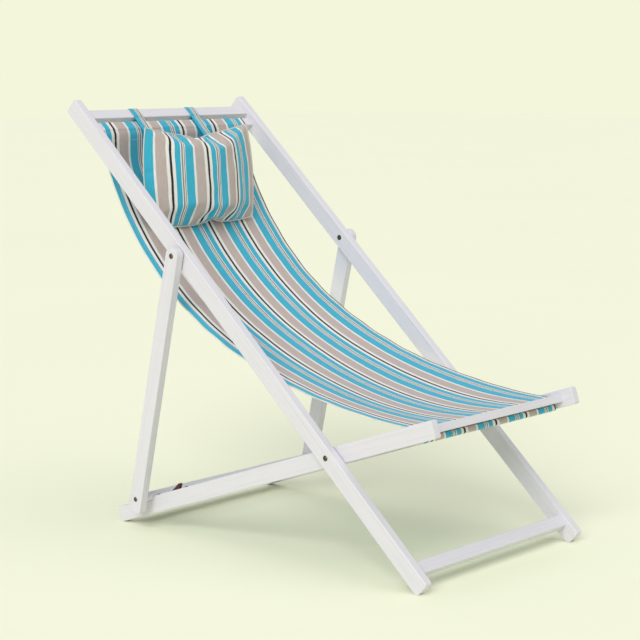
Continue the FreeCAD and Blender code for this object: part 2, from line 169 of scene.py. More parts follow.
@dataclass(frozen=True)
class PaintedTimber:
    """Planed pine under two coats of satin white enamel, brushed on along the board.

    The paint gives the eye a clean, slightly cool white with soft highlights, and only a
    hint of brush lines and of the grain's ridges telegraphing through.
    """

    grain_turn: float | None        # degrees about X from the Y axis; None runs along X
    grain_width_mm: float = 3.2
    grain_length_mm: float = 160.0
    brush_width_mm: float = 0.9
    brush_depth_mm: float = 0.02
    scuff_mm: float = 15.0
    paint: str = "#DDDBE2"
    thin_paint: str = "#D7D5DB"
    scuff: str = "#CFCBC6"

    def material(self, name: str) -> bpy.types.Material:
        """Builds the paint for boards whose grain runs this way.

        Args:
            name: The material's name.

        Returns:
            The material.
        """
        material, shader = new_material(name, roughness=0.42)
        tree = material.node_tree
        place = add_node(tree, "ShaderNodeTexCoord").outputs["Object"]
        turn = 0.0 if self.grain_turn is None else -math.radians(self.grain_turn)
        flat = add_node(tree, "ShaderNodeMapping", {"Vector": place, "Rotation": (turn, 0, 0)})
        cross, along = 1 / (self.grain_width_mm * MM), 1 / (self.grain_length_mm * MM)
        stretch = (along, cross, cross) if self.grain_turn is None else (cross, along, cross)
        stretched = add_node(tree, "ShaderNodeMapping", {"Vector": flat.outputs["Vector"], "Scale": stretch})
        grain_at = {"Vector": stretched.outputs["Vector"]}
        grain = add_node(tree, "ShaderNodeTexNoise", {**grain_at, "Scale": 1.0, "Detail": 3.0}).outputs["Fac"]
        ratio = self.grain_width_mm / self.brush_width_mm
        lines = add_node(tree, "ShaderNodeTexNoise", {**grain_at, "Scale": ratio, "Detail": 1.0})
        brush = lines.outputs["Fac"]
        tone = ramp(tree, grain, [(0.30, self.thin_paint), (0.52, self.paint), (1.0, self.paint)])
        # scuffs: rare pale-brown rubs, where the paint has worn thin
        rub_scale = 1 / (self.scuff_mm * MM)
        rub = add_node(tree, "ShaderNodeTexNoise", {"Vector": place, "Scale": rub_scale, "Detail": 6.0})
        worn = ramp(tree, rub.outputs["Fac"], [(0.68, "#000000"), (0.80, "#707070")])
        mix = add_node(tree, "ShaderNodeMix", {0: worn, 6: tone, 7: linear(self.scuff)}, data_type="RGBA")
        tree.links.new(mix.outputs[2], shader.inputs["Base Color"])
        gloss = add_node(tree, "ShaderNodeMapRange", {"Value": brush, "To Min": 0.34, "To Max": 0.52})
        tree.links.new(gloss.outputs["Result"], shader.inputs["Roughness"])
        height = add_node(tree, "ShaderNodeMath", {0: grain, 1: brush}, operation="ADD").outputs["Value"]
        depth = self.brush_depth_mm * MM
        bump = add_node(tree, "ShaderNodeBump", {"Height": height, "Strength": 0.35, "Distance": depth})
        tree.links.new(bump.outputs["Normal"], shader.inputs["Normal"])
        return material


@dataclass(frozen=True)
class OiledHardwood:
    """Sawn keruing rubbed with oil: dark red-brown with open, darker pores."""

    pore_width_mm: float = 0.8
    pore_length_mm: float = 9.0
    pore_depth_mm: float = 0.1

    def material(self, name: str) -> bpy.types.Material:
        """Builds the wood.

        Args:
            name: The material's name.

        Returns:
            The material.
        """
        material, shader = new_material(name, roughness=0.5)
        tree = material.node_tree
        place = add_node(tree, "ShaderNodeTexCoord").outputs["Object"]
        cross, along = 1 / (self.pore_width_mm * MM), 1 / (self.pore_length_mm * MM)
        drawn = add_node(tree, "ShaderNodeMapping", {"Vector": place, "Scale": (cross, along, cross)})
        pores_at = {"Vector": drawn.outputs["Vector"]}
        pores = add_node(tree, "ShaderNodeTexNoise", {**pores_at, "Scale": 1.0, "Detail": 4.0}).outputs["Fac"]
        tone = ramp(tree, pores, [(0.3, "#2C1512"), (0.5, "#4E251E"), (0.75, "#6A3A2C")])
        tree.links.new(tone, shader.inputs["Base Color"])
        depth = self.pore_depth_mm * MM
        bump = add_node(tree, "ShaderNodeBump", {"Height": pores, "Strength": 0.4, "Distance": depth})
        tree.links.new(bump.outputs["Normal"], shader.inputs["Normal"])
        return material


@dataclass(frozen=True)
class BronzedSteel:
    """Cold-headed, zinc-plated steel with an antique bronze dip.

    The eye gets a dull olive metal, brighter where it is rubbed.
    """

    speck_mm: float = 1.2

    def material(self, name: str) -> bpy.types.Material:
        """Builds the metal.

        Args:
            name: The material's name.

        Returns:
            The material.
        """
        material, shader = new_material(name, roughness=0.38, metallic=1.0)
        tree = material.node_tree
        place = add_node(tree, "ShaderNodeTexCoord").outputs["Object"]
        scale = 1 / (self.speck_mm * MM)
        specks = add_node(tree, "ShaderNodeTexNoise", {"Vector": place, "Scale": scale}).outputs["Fac"]
        tone = ramp(tree, specks, [(0.35, "#4B4536"), (0.6, "#7C745C"), (0.8, "#A39B7F")])
        tree.links.new(tone, shader.inputs["Base Color"])
        gloss = add_node(tree, "ShaderNodeMapRange", {"Value": specks, "To Min": 0.28, "To Max": 0.5})
        tree.links.new(gloss.outputs["Result"], shader.inputs["Roughness"])
        return material


@dataclass(frozen=True)
class MouldedRubber:
    """Moulded black rubber: matt, with a fine moulded grain."""

    grain_mm: float = 0.5
    grain_depth_mm: float = 0.05

    def material(self, name: str) -> bpy.types.Material:
        """Builds the rubber.

        Args:
            name: The material's name.

        Returns:
            The material.
        """
        material, shader = new_material(name, roughness=0.75)
        tree = material.node_tree
        place = add_node(tree, "ShaderNodeTexCoord").outputs["Object"]
        scale = 1 / (self.grain_mm * MM)
        grain = add_node(tree, "ShaderNodeTexNoise", {"Vector": place, "Scale": scale}).outputs["Fac"]
        tone = ramp(tree, grain, [(0.3, "#151515"), (0.7, "#262626")])
        tree.links.new(tone, shader.inputs["Base Color"])
        depth = self.grain_depth_mm * MM
        bump = add_node(tree, "ShaderNodeBump", {"Height": grain, "Strength": 0.5, "Distance": depth})
        tree.links.new(bump.outputs["Normal"], shader.inputs["Normal"])
        return material


@dataclass(frozen=True)
class StripedCanvas:
    """Yarn-dyed cotton canvas in plain weave, striped along the warp.

    The eye gets crisp stripes, a matt face with a soft edge sheen, and slightly uneven yarn.
    """

    start_mm: float                  # where on the stripe cycle the cloth's first edge was cut
    thread_mm: float = 1.5           # drawn three times coarser than real, so that the weave shows
    slub_length_mm: float = 22.0
    weave_depth_mm: float = 0.22
    drift_mm: float = 1.6            # how far a stripe's edge wanders
    drift_length_mm: float = 50.0
    mirrored: bool = False           # whether the cloth was turned over before it was cut
    teal: str = "#3CB4D2"
    taupe: str = "#C4B5AF"
    cream: str = "#F0EEEA"
    ink: str = "#292327"
    ash: str = "#A3A8A4"

    @property
    def bands(self) -> tuple[tuple[float, str], ...]:
        """Width in mm and colour of each stripe in one cycle."""
        return (
            (6.0, self.ink), (8.5, self.cream), (27.0, self.taupe), (6.0, self.cream), (23.0, self.teal),
            (2.2, self.cream), (1.5, self.ink), (2.4, self.cream), (2.9, self.ash), (1.5, self.ink),
            (2.9, self.cream), (14.6, self.teal), (8.5, self.cream),
        )

    @property
    def cycle_mm(self) -> float:
        """Length of one cycle of stripes."""
        return sum(width for width, _ in self.bands)

    def material(self, name: str) -> bpy.types.Material:
        """Builds the cloth.

        Args:
            name: The material's name.

        Returns:
            The material.
        """
        material, shader = new_material(name, roughness=0.86)
        shader.inputs["Specular IOR Level"].default_value = 0.25
        shader.inputs["Sheen Weight"].default_value = 0.18
        shader.inputs["Sheen Roughness"].default_value = 0.5
        tree = material.node_tree
        place = add_node(tree, "ShaderNodeAttribute", attribute_name=CLOTH_COORDS).outputs["Vector"]
        split = add_node(tree, "ShaderNodeSeparateXYZ", {"Vector": place})
        # the yarns wander a little, so a stripe's edge isn't ruled
        scale = 1 / self.drift_length_mm
        drift = add_node(tree, "ShaderNodeTexNoise", {"Vector": place, "Scale": scale, "Detail": 1.0})
        first = self.start_mm - self.drift_mm / 2
        shift = add_node(tree, "ShaderNodeMath", {0: drift.outputs["Fac"], 1: self.drift_mm, 2: first},
                         operation="MULTIPLY_ADD")
        way = "SUBTRACT" if self.mirrored else "ADD"
        across = add_node(tree, "ShaderNodeMath", {0: shift.outputs[0], 1: split.outputs["X"]}, operation=way)
        turns = add_node(tree, "ShaderNodeMath", {0: across.outputs[0], 1: self.cycle_mm}, operation="DIVIDE")
        part = add_node(tree, "ShaderNodeMath", {0: turns.outputs[0]}, operation="FRACT").outputs[0]
        stops, edge = [], 0.0
        for width, colour in self.bands:
            stops.append((edge / self.cycle_mm, colour))
            edge += width
        stripes = ramp(tree, part, stops, "CONSTANT")
        stretch = (1 / self.thread_mm, 1 / self.slub_length_mm, 1.0)
        drawn = add_node(tree, "ShaderNodeMapping", {"Vector": place, "Scale": stretch})
        yarn_at = {"Vector": drawn.outputs["Vector"]}
        yarn = add_node(tree, "ShaderNodeTexNoise", {**yarn_at, "Scale": 1.0, "Detail": 2.0}).outputs["Fac"]
        shade = ramp(tree, yarn, [(0.25, "#E3E3E3"), (0.75, "#FFFFFF")])
        dyed = add_node(tree, "ShaderNodeMix", {0: 0.8, 6: stripes, 7: shade},
                        data_type="RGBA", blend_type="MULTIPLY")
        tree.links.new(dyed.outputs[2], shader.inputs["Base Color"])
        # a wave texture repeats every 2 pi / 20 at scale 1
        threads = {"Vector": place, "Scale": 2 * math.pi / (20 * self.thread_mm)}
        warp = add_node(tree, "ShaderNodeTexWave", threads, bands_direction="X").outputs["Fac"]
        weft = add_node(tree, "ShaderNodeTexWave", threads, bands_direction="Y").outputs["Fac"]
        weave = add_node(tree, "ShaderNodeMath", {0: warp, 1: weft}, operation="MAXIMUM").outputs[0]
        height = add_node(tree, "ShaderNodeMath", {0: weave, 1: yarn}, operation="ADD").outputs[0]
        depth = self.weave_depth_mm * MM
        bump = add_node(tree, "ShaderNodeBump", {"Height": height, "Strength": 0.4, "Distance": depth})
        tree.links.new(bump.outputs["Normal"], shader.inputs["Normal"])
        return material


@dataclass(frozen=True)
class SewingThread:
    """Spun polyester sewing thread: pale, matt, twisted."""

    colour: str = "#D8D5CC"
    shadow: str = "#B9B5AA"
    twist_mm: float = 0.6

    def material(self, name: str) -> bpy.types.Material:
        """Builds the thread.

        Args:
            name: The material's name.

        Returns:
            The material.
        """
        material, shader = new_material(name, roughness=0.8)
        tree = material.node_tree
        place = add_node(tree, "ShaderNodeTexCoord").outputs["Object"]
        scale = 1 / (self.twist_mm * MM)
        twist = add_node(tree, "ShaderNodeTexNoise", {"Vector": place, "Scale": scale}).outputs["Fac"]
        tone = ramp(tree, twist, [(0.3, self.shadow), (0.7, self.colour)])
        tree.links.new(tone, shader.inputs["Base Color"])
        return material


@dataclass(frozen=True)
class Stance:
    """Places in the side view, from each frame's flat coordinates: along its rail and square to it, in mm."""

    back_angle: float = 42.8
    seat_angle: float = 19.0
    crossing: Vector = field(default_factory=lambda: joint_place("seat_fold"))

    def turned(self, along: float, above: float, angle: float) -> Vector:
        """Point of a frame that rises towards the rear at an angle.

        Args:
            along: How far along the rail from the crossing.
            above: How far square to the rail.
            angle: The rail's rise in degrees.

        Returns:
            The point, in metres.
        """
        a = math.radians(angle)
        rear = along * math.cos(a) - above * math.sin(a)
        up = along * math.sin(a) + above * math.cos(a)
        return self.crossing + MM * Vector((0, rear, up))

    def back(self, along: float, above: float) -> Vector:
        """Point of the long frame."""
        return self.turned(along, above, self.back_angle)

    def seat(self, along: float, above: float) -> Vector:
        """Point of the seat frame, along counted towards the rear."""
        return self.turned(along, above, -self.seat_angle)


def joint_place(name: str) -> Vector:
    """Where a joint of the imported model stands."""
    return Vector(next(j["pos_m"] for j in frame["joints"] if j["name"] == name))


def squircle(angle: float, half_y: float, half_z: float, power: float) -> tuple[float, float]:
    """Point of a superellipse, which hugs a bar's flat faces and turns smoothly at its edges.

    Args:
        angle: Where round it, in radians.
        half_y: Half its width.
        half_z: Half its height.
        power: 1 for an ellipse, nearer 0 for a squarer form.

    Returns:
        The point's two coordinates.
    """
    c, s = math.cos(angle), math.sin(angle)
    return half_y * math.copysign(abs(c) ** power, c), half_z * math.copysign(abs(s) ** power, s)


def make_object(name: str, vertices: Sequence[Vector], faces: Sequence[Sequence[int]],
                material: bpy.types.Material,
                cut: Sequence[tuple[float, float]] | None = None) -> bpy.types.Object:
    """Makes a smooth-shaded mesh object.

    Args:
        name: The piece's name.
        vertices: Its points.
        faces: Vertex numbers of each face.
        material: Its finish.
        cut: Each point's place on the flat cloth, in mm.

    Returns:
        The object, linked to the scene.
    """
    mesh = bpy.data.meshes.new(name)
    mesh.from_pydata([tuple(v) for v in vertices], [], [tuple(f) for f in faces])
    mesh.materials.append(material)
    if cut is not None:
        attribute = mesh.attributes.new(CLOTH_COORDS, "FLOAT_VECTOR", "POINT")
        attribute.data.foreach_set("vector", [c for x, y in cut for c in (x, y, 0.0)])
    mesh.polygons.foreach_set("use_smooth", [True] * len(mesh.polygons))
    mesh.update()
    piece = bpy.data.objects.new(name, mesh)
    bpy.context.scene.collection.objects.link(piece)
    return piece


def side_normals(points: Sequence[Vector]) -> list[Vector]:
    """Unit vectors square to a line in the side view.

    They point towards the sitter on a line that runs down to the front.

    Args:
        points: The line.

    Returns:
        One vector for each point.
    """
    found = []
    for index in range(len(points)):
        run = points[min(index + 1, len(points) - 1)] - points[max(index - 1, 0)]
        found.append(Vector((0, run.z, -run.y)).normalized())
    return found


def lengths(points: Sequence[Vector]) -> list[float]:
    """Distance along a line at each of its points."""
    total, found = 0.0, [0.0]
    for a, b in zip(points, points[1:]):
        total += (b - a).length
        found.append(total)
    return found


def smoothed(points: Sequence[Vector], step: float) -> list[Vector]:
    """Runs a Catmull-Rom curve through points at an even spacing.

    Args:
        points: The points that it passes.
        step: About how far apart the new points are.

    Returns:
        The new points, with both ends.
    """
    ends = [points[0] * 2 - points[1], *points, points[-1] * 2 - points[-2]]
    found = []
    for a, b, c, d in zip(ends, ends[1:], ends[2:], ends[3:]):
        count = max(1, round((c - b).length / step))
        for index in range(count):
            t = index / count
            bend = (2 * a - 5 * b + 4 * c - d) * t * t
            found.append(0.5 * (2 * b + (c - a) * t + bend + (3 * b - a - 3 * c + d) * t**3))
    return [*found, points[-1].copy()]


def ribbon(name: str, points: Sequence[Vector], columns: Sequence[float],
           shape: Callable[[float, float], float], thick: Callable[[float], tuple[float, float]],
           material: bpy.types.Material) -> bpy.types.Object:
    """Makes a closed strip of cloth that follows a line in the side view.

    Args:
        name: The piece's name.
        points: The line down the middle of the cloth.
        columns: Places across the cloth, in metres from the chair's middle.
        shape: Gives how far the cloth stands off the line, from the place across and the share of
            the length.
        thick: Gives how far the face and the back stand off the middle, from the place across.
        material: The cloth's finish.

    Returns:
        The strip.
    """
    normals, run = side_normals(points), lengths(points)
    vertices, cut, faces = [], [], []
    wide = len(columns)
    for sign in (0, 1):
        for row, (point, normal, along) in enumerate(zip(points, normals, run)):
            for x in columns:
                off = shape(x, along / run[-1]) + (thick(x)[0] if sign == 0 else -thick(x)[1])
                vertices.append(Vector((x, point.y, point.z)) + normal * off)
                cut.append(((x - columns[0]) / MM, along / MM))
    layer = wide * len(points)
    for row in range(len(points) - 1):
        for col in range(wide - 1):
            a = row * wide + col
            faces.append((a, a + 1, a + wide + 1, a + wide))
            faces.append((layer + a, layer + a + wide, layer + a + wide + 1, layer + a + 1))
    for row in range(len(points) - 1):
        a, b = row * wide, row * wide + wide - 1
        faces.append((a, a + wide, layer + a + wide, layer + a))
        faces.append((b, layer + b, layer + b + wide, b + wide))
    last = (len(points) - 1) * wide
    for col in range(wide - 1):
        faces.append((col, layer + col, layer + col + 1, col + 1))
        faces.append((last + col, last + col + 1, layer + last + col + 1, layer + last + col))
    return make_object(name, vertices, [face[::-1] for face in faces], material, cut)


def cord_loop(name: str, points: Sequence[Vector], radius: float, sides: int,
              material: bpy.types.Material) -> bpy.types.Object:
    """Sweeps a round cord along a closed line.

    Args:
        name: The piece's name.
        points: The line, whose last point joins its first.
        radius: The cord's radius.
        sides: How many sides it has.
        material: Its finish.

    Returns:
        The cord.
    """
    count = len(points)
    vertices, faces = [], []
    guide = Vector((0, -0.6, 0.8))  # any direction that the cord never runs along
    for index, point in enumerate(points):
        run = (points[(index + 1) % count] - points[index - 1]).normalized()
        side = run.cross(guide).normalized()
        up = side.cross(run)
        for corner in range(sides):
            angle = 2 * math.pi * corner / sides
            vertices.append(point + (side * math.cos(angle) + up * math.sin(angle)) * radius)
    for index in range(count):
        here, ahead = index * sides, (index + 1) % count * sides
        for corner in range(sides):
            turn = (corner + 1) % sides
            faces.append((here + corner, here + turn, ahead + turn, ahead + corner))
    return make_object(name, vertices, faces, material)


def stitches(name: str, lines: Sequence[tuple[Sequence[Vector], Vector]],
             material: bpy.types.Material) -> bpy.types.Object:
    """Sews lockstitches along lines: one short raised thread every few millimetres.

    Args:
        name: The piece's name.
        lines: Each line's points, and the direction that faces out of the cloth.
        material: The thread.

    Returns:
        All the stitches as one piece.
    """
    pitch, long = 4.2 * MM, 3.0 * MM
    half, proud, sunk = 0.45 * MM, 0.45 * MM, 0.2 * MM
    vertices, faces = [], []
    for points, outward in lines:
        run = lengths(points)
        index, at = 0, pitch / 2
        while at < run[-1] - pitch:
            while run[index + 1] < at:
                index += 1
            a, b = points[index], points[index + 1]
            along = (b - a).normalized()
            across = along.cross(outward).normalized()
            up = across.cross(along).normalized()
            middle = a.lerp(b, (at - run[index]) / max(run[index + 1] - run[index], 1e-9))
            base = len(vertices)
            # three cross-sections, each with two upper corners and one sunk into the cloth
            for share, rise in ((-0.5, 0.0), (0.0, 1.0), (0.5, 0.0)):
                section = middle + along * (long * share)
                for side in (-1, 1):
                    vertices.append(section + across * (side * half) + up * (proud * rise))
                vertices.append(section - up * sunk)
            for ring in (0, 3):
                a0, b0, c0 = base + ring, base + ring + 1, base + ring + 2
                a1, b1, c1 = a0 + 3, b0 + 3, c0 + 3
                faces += [(a0, a1, b1, b0), (b0, b1, c1, c0), (c0, c1, a1, a0)]
            faces += [(base, base + 1, base + 2), (base + 8, base + 7, base + 6)]
            at += pitch
    return make_object(name, vertices, faces, material)


@dataclass
class TimberFrames:
    """The white frames and their fittings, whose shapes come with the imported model."""

    stance: Stance
    back_boards: tuple[str, ...] = ("long_rail_left", "long_rail_right")
    seat_boards: tuple[str, ...] = ("seat_rail_left", "seat_rail_right")
    prop_boards: tuple[str, ...] = ("prop_strut_left", "prop_strut_right")
    bars: tuple[str, ...] = (
        "top_crossbar", "top_sling_bar", "foot_crossbar", "front_crossbar", "front_sling_bar",
        "rear_crossbar", "prop_dowel",
    )
    fittings: tuple[str, ...] = (
        "crossing_bolts", "crossing_washers", "crossing_nuts", "prop_pivot_bolts", "prop_pivot_washers",
        "prop_pivot_nuts", "dowel_screws",
    )
    prop_lean: float = 103.1         # degrees about X at which the struts stand

    def dress(self) -> None:
        """Gives every rigid node its finish."""
        runs = (
            ("enamel_back_rails", self.back_boards, self.stance.back_angle),
            ("enamel_seat_rails", self.seat_boards, -self.stance.seat_angle),
            ("enamel_struts", self.prop_boards, self.prop_lean),
            ("enamel_bars", self.bars, None),
        )
        for name, nodes, turn in runs:
            self.give(nodes, PaintedTimber(grain_turn=turn).material(name))
        self.give(self.fittings, BronzedSteel().material("bronzed_steel_fittings"))
        self.give(("stop_wedges",), OiledHardwood().material("oiled_hardwood_wedges"))
        self.give(("rail_studs",), MouldedRubber().material("moulded_rubber_studs"))

    @staticmethod
    def give(nodes: Sequence[str], material: bpy.types.Material) -> None:
        """Puts one material on CAD nodes.

        Args:
            nodes: Node names.
            material: Their finish.
        """
        for node in nodes:
            piece = frame["nodes"][node]
            for slot in piece.material_slots:
                slot.material = material
            LOG.info("dressed %s", node)


@dataclass
class HangingSling:
    """One strip of canvas hung from the top sling bar to the front one.

    It is sleeved round both bars and hemmed down its sides.
    """

    stance: Stance
    wide_mm: float = 456.0
    cloth_mm: float = 1.3
    hem_mm: float = 13.0
    hem_ply_mm: float = 1.1          # what the turned plies of a hem add at its back
    sag_mm: float = 183.5
    sag_skew: float = 0.82           # below 1 the deepest point lies nearer the top bar
    sag_round: float = 0.855         # below 1 the curve is fuller than half a sine
    top_bar_mm: tuple[float, float, float, float] = (965.0, -3.0, 24.0, 11.0)
    front_bar_mm: tuple[float, float, float, float] = (-212.0, -15.0, 24.0, 10.0)
    drop_mm: tuple[tuple[float, float], ...] = ((949.5, 0.8), (943.0, -2.2))  # leaving the top sleeve
    hang_from_mm: tuple[float, float] = (949.6, -5.0)      # ends of the free cloth's chord: on the long
    hang_to_mm: tuple[float, float] = (-213.4, 13.0)       # frame, and on the seat frame
    neck_mm: tuple[tuple[float, float], ...] = ((-215.6, 8.0), (-216.6, 1.0), (-217.0, -4.0))
    bend_from_mm: tuple[float, float] = (715.0, -105.0)    # the cloth's fold bend would run from this place on
    bend_to_mm: tuple[float, float] = (-190.0, 10.0)       # the long frame to this one on the seat frame; nothing bends it
    bar_play_mm: float = 0.4         # between a bar and its sleeve
    sleeve_power: float = 0.42
    sleeve_steps: int = 40
    sag_steps: int = 26
    start_mm: float = 83.0
    columns: int = 72
    dish_mm: float = 2.0             # the middle hangs this far below the hems, which were sewn tight
    seat_dish_mm: float = 14.0       # and further below them under the sitter's legs
    rim_turn_mm: float = 3.0         # how far the outer tenth of the cloth turns down
    wave_mm: float = 1.5             # slow unevenness of hanging cloth
    pucker_mm: float = 0.7           # short ripples drawn up by the hem's stitching

    def sleeve(self, bar: tuple[float, float, float, float], place: Callable[[float, float], Vector],
               start: float, turn: float) -> list[Vector]:
        """Line of the cloth round a flat bar.

        Args:
            bar: The bar's place along and above its frame, width and thickness, in mm.
            place: The frame's own coordinates.
            start: Where round the bar the line begins, in turns from the rear side.
            turn: How far round it goes, in turns.

        Returns:
            Points round the bar.
        """
        along, above, wide, thick = bar
        clear = self.bar_play_mm + self.cloth_mm / 2
        points = []
        for index in range(self.sleeve_steps + 1):
            angle = 2 * math.pi * (start + turn * index / self.sleeve_steps)
            y, z = squircle(angle, wide / 2 + clear, thick / 2 + clear, self.sleeve_power)
            points.append(place(along + y, above + z))
        return points

    def hanging_line(self) -> list[Vector]:
        """The free cloth between the sleeves, in the side view."""
        top = self.stance.back(*self.hang_from_mm)
        front = self.stance.seat(*self.hang_to_mm)
        chord = front - top
        square = Vector((0, chord.z, -chord.y)).normalized()
        points = []
        for index in range(1, self.sag_steps):
            t = index / self.sag_steps
            sag = self.sag_mm * MM * math.sin(math.pi * t**self.sag_skew) ** self.sag_round
            points.append(top + chord * t - square * sag)
        return points

    def line(self) -> list[Vector]:
        """The strip's middle line, from the seam behind the top bar to the seam behind the front bar."""
        back, seat = self.stance.back, self.stance.seat
        top = self.sleeve(self.top_bar_mm, back, start=0.62, turn=0.80)
        drop = [back(*place) for place in self.drop_mm]
        neck = [seat(*place) for place in self.neck_mm]
        front = self.sleeve(self.front_bar_mm, seat, start=0.33, turn=0.93)
        middle = smoothed([*drop, *self.hanging_line(), *neck], 9 * MM)
        return [*top, *middle, *front]

    @staticmethod
    def free_share(share: float) -> float:
        """Share of the free length, from the share of the whole strip's, which the sleeves take part of."""
        top_sleeve, free = 0.068, 0.872
        return min(max((share - top_sleeve) / free, 0.0), 1.0)

    def ripple(self, x: float, share: float) -> float:
        """How far the cloth stands off its line.

        It dishes across, puckers by the hems and turns down at them, and lies flat at the sleeves.

        Args:
            x: Place across the chair.
            share: Share of the strip's length.

        Returns:
            Metres, positive towards the sitter.
        """
        free = self.free_share(share)
        held = math.sin(math.pi * free)
        across = x / (self.wide_mm * MM / 2)
        depth = self.dish_mm * held + self.seat_dish_mm * math.sin(math.pi * free**3)
        dish = -depth * (1 - across**2)
        rim = max(0.0, (abs(across) - 0.9) / 0.1)
        turned = -self.rim_turn_mm * rim**1.6 * held
        wave = self.wave_mm * noise.noise(Vector((x * 9, share * 7, 1.7))) * held
        # 96 radians along the strip is a pucker about every 85 mm
        pucker = self.pucker_mm * math.sin(share * 96 + 2 * across) * abs(across) ** 7 * held
        return (dish + turned + wave + pucker) * MM

    def thickness(self, x: float) -> tuple[float, float]:
        """Face and back offsets from the middle line: the back is thicker within the hems."""
        edge = self.wide_mm * MM / 2 - abs(x)
        extra = 0.0 if edge > self.hem_mm * MM else self.hem_ply_mm * MM
        return self.cloth_mm * MM / 2, self.cloth_mm * MM / 2 + extra

    def column_places(self) -> list[float]:
        """Places across the cloth, with a crease at each hem's inner edge."""
        half = self.wide_mm * MM / 2
        hem = self.hem_mm * MM
        inner = half - hem - 0.6 * MM
        middle = [-inner + 2 * inner * i / self.columns for i in range(self.columns + 1)]
        rim = [half, half - 0.5 * MM, half - hem / 2, half - hem]
        return [*(-x for x in rim), *middle, *reversed(rim)]

    def seam_lines(self, line: list[Vector]) -> list[tuple[list[Vector], Vector]]:
        """Where the hems and the top sleeve are sewn.

        Args:
            line: The strip's middle line.

        Returns:
            Each seam's points and outward direction.
        """
        normals, run = side_normals(line), lengths(line)
        lift = self.cloth_mm * MM / 2
        seams = []
        # the seams stop a few points short of the sleeves
        first, last = self.sleeve_steps + 4, len(line) - self.sleeve_steps - 6
        from_hem_edge = 2.5
        for side in (-1, 1):
            place = side * (self.wide_mm / 2 - self.hem_mm + from_hem_edge) * MM
            points = []
            for i in range(first, last):
                off = lift + self.ripple(place, run[i] / run[-1])
                points.append(Vector((place, line[i].y, line[i].z)) + normals[i] * off)
            seams.append((points, Vector((0, -0.5, 0.86))))
        half = self.wide_mm * MM / 2 - 2 * MM
        off = lift + self.ripple(0, run[first] / run[-1])
        ends = [Vector((x, line[first].y, line[first].z)) + normals[first] * off for x in (-half, half)]
        seams.append((ends, normals[first]))
        return seams

    def build(self) -> None:
        """Makes the sling and its stitching, and hangs them between the two frames."""
        canvas = StripedCanvas(start_mm=self.start_mm).material("striped_canvas_sling")
        line = self.line()
        sling = ribbon("sling", line, self.column_places(), self.ripple, self.thickness, canvas)
        thread = SewingThread().material("sewing_thread")
        seams = stitches("sling_stitching", self.seam_lines(line), thread)
        start, end = self.stance.back(*self.bend_from_mm), self.stance.seat(*self.bend_to_mm)
        for piece in (sling, seams):
            tuple(start)
            tuple(end)
            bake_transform(piece)
        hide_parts("sling_cloth", "sling_top_pocket", "sling_front_pocket")
        flat = (self.wide_mm * MM, lengths(line)[-1])
        LOG.info("sling is %.0f x %.0f mm flat", flat[0] / MM, flat[1] / MM)


